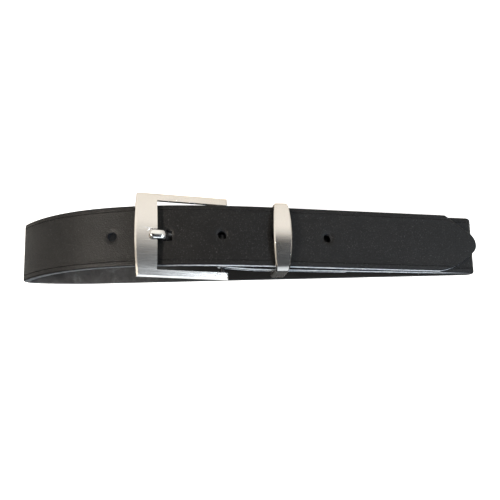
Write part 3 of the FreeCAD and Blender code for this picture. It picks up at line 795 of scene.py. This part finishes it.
def prong_ring(outer=2.91, inner=1.31, chamfer=0.5, turns=48):
    """The ring that turns on the pin, with chamfered outer edges."""
    half = PRONG_WIDTH / 2
    section = [(inner, -half), (outer - chamfer, -half), (outer, -half + chamfer),
               (outer, half - chamfer), (outer - chamfer, half), (inner, half)]
    verts = []
    for j in range(turns):
        c, s = math.cos(2 * math.pi * j / turns), math.sin(2 * math.pi * j / turns)
        verts += [(*from_buckle(r * c, r * s), MID + RISE + z) for r, z in section]
    n = len(section)
    faces = [(j * n + k, (j + 1) % turns * n + k, (j + 1) % turns * n + (k + 1) % n,
              j * n + (k + 1) % n) for j in range(turns) for k in range(n)]
    return "ring", verts, faces


def build_prong():
    """Shank and ring, joined into one bar."""
    verts, faces = prong_shank()
    bar = tidy_mesh(new_object("prong_bar", verts, faces, [0] * len(faces), [prong_metal]))
    return cut(bar, [prong_ring()], "UNION", [prong_metal], 0)


prong = build_prong()
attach(prong, "tongue")
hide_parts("prong")


# ------------------------------------------------------------------ floor and surroundings
def stage_floor(half=12.0):
    """White to the camera; to light and reflections warm white, and dim in front of the belt."""
    mesh = bpy.data.meshes.new("floor")
    corners = [(-half, -half, 0), (half, -half, 0), (half, half, 0), (-half, half, 0)]
    mesh.from_pydata(corners, [], [(0, 1, 2, 3)])
    obj = bpy.data.objects.new("floor", mesh)
    bpy.context.scene.collection.objects.link(obj)
    m = Nodes("floor_white")
    near = m.ramp(m.noise(4.0, 2.0), (0.3, (0.86, 0.82, 0.76)), (0.7, (0.88, 0.84, 0.78)))
    front = m.span(m.along("Y"), 0.0, 1.0, (-0.50, -0.16))
    mesh.materials.append(m.set(
        Base_Color=m.blend(front, (0.10, 0.095, 0.09), near), Roughness=0.95,
        Specular_IOR_Level=0.0, Emission_Color=(1, 1, 1, 1),
        Emission_Strength=m.add("ShaderNodeLightPath").outputs["Is Camera Ray"]))


def studio_world():
    """White to the camera; to light and reflections dim at the horizon and bright overhead."""
    sky = [(0.0, (0.30, 0.28, 0.25)), (0.03, (0.05, 0.048, 0.045)), (0.25, (0.035, 0.035, 0.037)),
           (0.50, (0.16, 0.17, 0.19)), (0.80, (0.55, 0.60, 0.66))]
    world = bpy.data.worlds.new("studio")
    bpy.context.scene.world = world
    world.use_nodes = True
    tree = world.node_tree
    add, link = tree.nodes.new, tree.links.new
    room = next(n for n in tree.nodes if n.type == "BACKGROUND")
    out = next(n for n in tree.nodes if n.type == "OUTPUT_WORLD")
    split, ramp = add("ShaderNodeSeparateXYZ"), add("ShaderNodeValToRGB")
    fill_ramp(ramp.color_ramp, sky)
    link(add("ShaderNodeTexCoord").outputs["Generated"], split.inputs[0])
    link(split.outputs["Z"], ramp.inputs["Fac"])
    link(ramp.outputs["Color"], room.inputs["Color"])
    room.inputs["Strength"].default_value = 0.55
    white, both = add("ShaderNodeBackground"), add("ShaderNodeMixShader")
    white.inputs["Color"].default_value = (1, 1, 1, 1)
    link(add("ShaderNodeLightPath").outputs["Is Camera Ray"], both.inputs["Fac"])
    link(room.outputs[0], both.inputs[1])
    link(white.outputs[0], both.inputs[2])
    link(both.outputs[0], out.inputs["Surface"])


stage_floor()
studio_world()
bpy.context.scene.view_settings.view_transform = "Standard"

# ------------------------------------------------------------------ camera, then lights
# the viewer, in the upright belt's frame: distance, line of sight to the belt's middle,
# tilt down, roll, and the lens; the view is upside down
REACH, SIGHT, PITCH, ROLL = 413.0, math.radians(14.0), math.radians(12.8), math.radians(-1.34)
LENS, SENSOR = 58.9, 36.0


def place_camera():
    """The camera, carried along with the belt as it leans back."""
    right, up = Vector((-1, 0, 0)), Vector((0, -math.sin(PITCH), -math.cos(PITCH)))
    forward = Vector((0, math.cos(PITCH), -math.sin(PITCH)))
    s, c = math.sin(ROLL), math.cos(ROLL)
    right, up = c * right + s * up, c * up - s * right
    pose = Matrix((right, up, -forward)).transposed().to_4x4()
    pose.translation = Vector((0.0, -REACH, MID + REACH * math.tan(SIGHT)))
    data = bpy.data.cameras.new("camera")
    data.lens, data.sensor_width, data.clip_start = LENS, SENSOR, 0.01
    obj = bpy.data.objects.new("camera", data)
    bpy.context.scene.collection.objects.link(obj)
    obj.location, turn, _ = (STAND @ pose).decompose()
    obj.rotation_mode = "QUATERNION"
    obj.rotation_quaternion = turn
    bpy.context.scene.camera = obj
    return obj


def area(name, at, target, size, power, colour):
    """A rectangular lamp at one place, facing another."""
    data = bpy.data.lights.new(name, "AREA")
    data.shape, data.size, data.size_y = "RECTANGLE", size[0], size[1]
    data.energy, data.color = power, colour
    obj = bpy.data.objects.new(name, data)
    obj.location = at
    obj.rotation_euler = (Vector(target) - Vector(at)).to_track_quat("-Z", "Y").to_euler()
    bpy.context.scene.collection.objects.link(obj)


def mirrored(u, lamp_height, reach=1.2):
    """Where a lamp stands to be reflected from the strap's face at u into the camera."""
    point, inward, _ = strap_at(u)
    spot = STAND @ Vector((point[0], point[1], MID))
    out = (STAND.to_3x3() @ Vector((-inward[0], -inward[1], 0.0))).normalized()
    ray = (spot - camera.location).normalized()
    lamp = spot + (ray - 2 * ray.dot(out) * out) * reach
    lamp.z = lamp_height
    return lamp, spot


camera = place_camera()
BELT, BUCKLE_ARM = (0, 0, 0.02), (0.03, -0.02, 0.03)    # what the fixed lamps face
area("sky_panel", (-0.25, 0.15, 1.1), BELT, (1.6, 1.0), 8.5, (0.84, 0.92, 1.0))
area("warm_side", (1.25, -0.55, 0.35), BELT, (0.5, 0.9), 1.6, (1.0, 0.92, 0.80))
area("arm_panel", (-1.02, -0.66, 0.26), BUCKLE_ARM, (0.36, 0.34), 0.55, (0.92, 0.96, 1.0))
area("cool_side", (-1.25, -0.45, 0.45), BELT, (0.5, 0.9), 3.6, (0.80, 0.90, 1.0))
area("sheen_strip", *mirrored(HOLES[-1] - 7.0, 0.42), (0.07, 0.8), 32.0, (1.0, 0.92, 0.82))
area("tip_strip", *mirrored(TOTAL - 12.0, 0.40), (0.16, 0.7), 10.0, (0.78, 0.88, 1.0))
